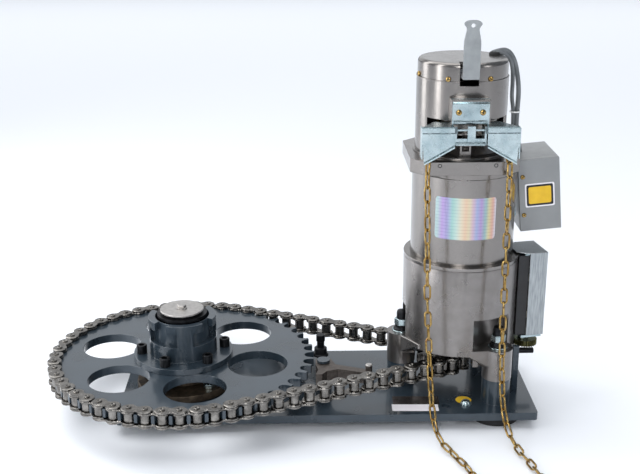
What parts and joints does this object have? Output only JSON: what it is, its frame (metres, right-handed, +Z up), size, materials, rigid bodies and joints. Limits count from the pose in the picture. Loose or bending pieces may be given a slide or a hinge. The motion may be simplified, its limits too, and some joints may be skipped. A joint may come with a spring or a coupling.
{
  "type": "roller door motor",
  "caption": "Upright gear motor on a base plate, driving a large chain wheel, with a hand chain and brake lever.",
  "frame": {"origin": "centre of the four fixing holes at the base plate's underside", "axes": "+X from the chain wheel to the motor, +Z up, the motor's front faces -Y"},
  "size_m": [0.5168, 0.4148, 0.393],
  "materials": {
    "enamel": "dark blue-grey gloss enamel",
    "silver_paint": "silver-grey metallic paint",
    "cast_paint": "silver paint over a casting",
    "zinc": "bright zinc plate",
    "steel": "plain steel, lightly oiled",
    "yellow_zinc": "yellow passivated zinc",
    "black_steel": "black oxide",
    "box_paint": "grey stove enamel",
    "cable_sheath": "grey cable sheath",
    "rubber": "black rubber",
    "copper": "enamelled copper wire",
    "nylon": "natural nylon",
    "black_plastic": "black plastic"
  },
  "bodies": {
    "motor": {"base_plate": "enamel", "rubber_pads": "rubber", "plate_screws": "zinc", "axle_and_flange": "enamel", "axle_spacers": "steel", "end_disc": "zinc", "ball_bearings": "steel", "roller_chain_inner_links": "steel", "roller_chain_outer_plates": "steel", "gear_housing": "cast_paint", "gear_housing_cover": "silver_paint", "m8_studs": "zinc", "foot_washers": "zinc", "m8_nuts": "black_steel", "tension_bracket": "zinc", "tension_screw": "zinc", "motor_tube": "silver_paint", "stator_core": "steel", "stator_windings": "copper", "end_shield": "silver_paint", "upper_housing": "silver_paint", "top_cap": "silver_paint", "brake_coil": "black_steel", "brake_spring": "steel", "hand_chain": "yellow_zinc", "hand_chain_hank": "yellow_zinc", "chain_guides": "zinc", "guide_bracket": "zinc", "cover_screws": "zinc", "lever_pivot_pin": "steel", "limit_frame": "zinc", "limit_cover": "zinc", "limit_switches": "black_plastic", "control_box": "box_paint", "control_box_cover": "box_paint", "control_box_bracket": "zinc", "cable_grommet": "rubber", "cables": "cable_sheath", "pawl_pivot_block": "enamel"},
    "drum": {"chain_wheel": "enamel", "hub_and_barrel": "enamel", "hub_screws": "zinc"},
    "output": {"output_sprocket": "steel", "output_shaft": "steel"},
    "countershaft": {"countershaft": "steel"},
    "rotor": {"rotor_shaft": "steel", "brake_disc": "black_steel"},
    "hand_wheel": {"hand_chain_wheel": "steel"},
    "limit_pinion": {"limit_pinion": "steel"},
    "limit_spindle": {"limit_gear": "nylon", "limit_spindle": "steel"},
    "limit_nut_lower": {"limit_nut_lower": "nylon"},
    "limit_nut_upper": {"limit_nut_upper": "nylon"},
    "lever": {"release_lever": "zinc"},
    "armature": {"brake_armature": "steel"},
    "pawl": {"safety_pawl": "cast_paint"}
  },
  "joints": [
    {"name": "drum_spin", "type": "hinge", "parent": "motor", "child": "drum", "pos_m": [-0.145, 0, 0.04], "axis": [0, 0, 1], "range_deg": [-1440, 1440], "deforming": ["roller_chain_inner_links", "roller_chain_outer_plates"]},
    {"name": "output_spin", "type": "hinge", "parent": "motor", "child": "output", "pos_m": [0.11913, 0, 0.06], "axis": [0, 0, 1], "range_deg": [-8160, 8160]},
    {"name": "countershaft_spin", "type": "hinge", "parent": "motor", "child": "countershaft", "pos_m": [0.15451, 0.01866, 0.11], "axis": [0, 0, 1], "range_deg": [-32640, 32640]},
    {"name": "rotor_spin", "type": "hinge", "parent": "motor", "child": "rotor", "pos_m": [0.135, 0, 0.18], "axis": [0, 0, 1], "range_deg": [-93257.14, 93257.14]},
    {"name": "limit_pinion_spin", "type": "hinge", "parent": "motor", "child": "limit_pinion", "pos_m": [0.1857, -0.009, 0.06], "axis": [0, 0, 1], "range_deg": [-8160, 8160]},
    {"name": "limit_spindle_spin", "type": "hinge", "parent": "motor", "child": "limit_spindle", "pos_m": [0.2025, -0.009, 0.1], "axis": [0, 0, 1], "range_deg": [-4080, 4080]},
    {"name": "limit_nut_lower_slide", "type": "slide", "parent": "motor", "child": "limit_nut_lower", "axis": [0, 0, 1], "range_m": [-0.01417, 0.01417]},
    {"name": "limit_nut_upper_slide", "type": "slide", "parent": "motor", "child": "limit_nut_upper", "axis": [0, 0, 1], "range_m": [-0.01417, 0.01417]},
    {"name": "hand_chain_spin", "type": "hinge", "parent": "motor", "child": "hand_wheel", "pos_m": [0.135, 0, 0.2805], "axis": [0, 0, 1], "continuous": true},
    {"name": "lever_swing", "type": "hinge", "parent": "motor", "child": "lever", "pos_m": [0.1295, -0.022, 0.3315], "axis": [1, 0, 0], "range_deg": [0, 12], "stiffness_Nm_per_rad": 1, "springref_deg": -5.73},
    {"name": "armature_lift", "type": "slide", "parent": "motor", "child": "armature", "axis": [0, 0, 1], "range_m": [0, 0.001], "deforming": ["brake_spring"]},
    {"name": "pawl_swing", "type": "hinge", "parent": "motor", "child": "pawl", "pos_m": [-0.0028, -0.0216, 0.034], "axis": [0, 0, 1], "range_deg": [0, 8], "stiffness_Nm_per_rad": 0.5, "springref_deg": -2.86}
  ],
  "couplings": [
    {"joint": "output_spin", "follows": "drum_spin", "ratio": 5.6667},
    {"joint": "countershaft_spin", "follows": "drum_spin", "ratio": -22.667},
    {"joint": "rotor_spin", "follows": "drum_spin", "ratio": 64.762},
    {"joint": "limit_pinion_spin", "follows": "drum_spin", "ratio": 5.6667},
    {"joint": "limit_spindle_spin", "follows": "drum_spin", "ratio": -2.8333},
    {"joint": "limit_nut_lower_slide", "follows": "drum_spin", "m_per_rad": 0.00056367},
    {"joint": "limit_nut_upper_slide", "follows": "drum_spin", "m_per_rad": 0.00056367},
    {"joint": "armature_lift", "follows": "lever_swing", "m_per_rad": 0.0047746}
  ]
}
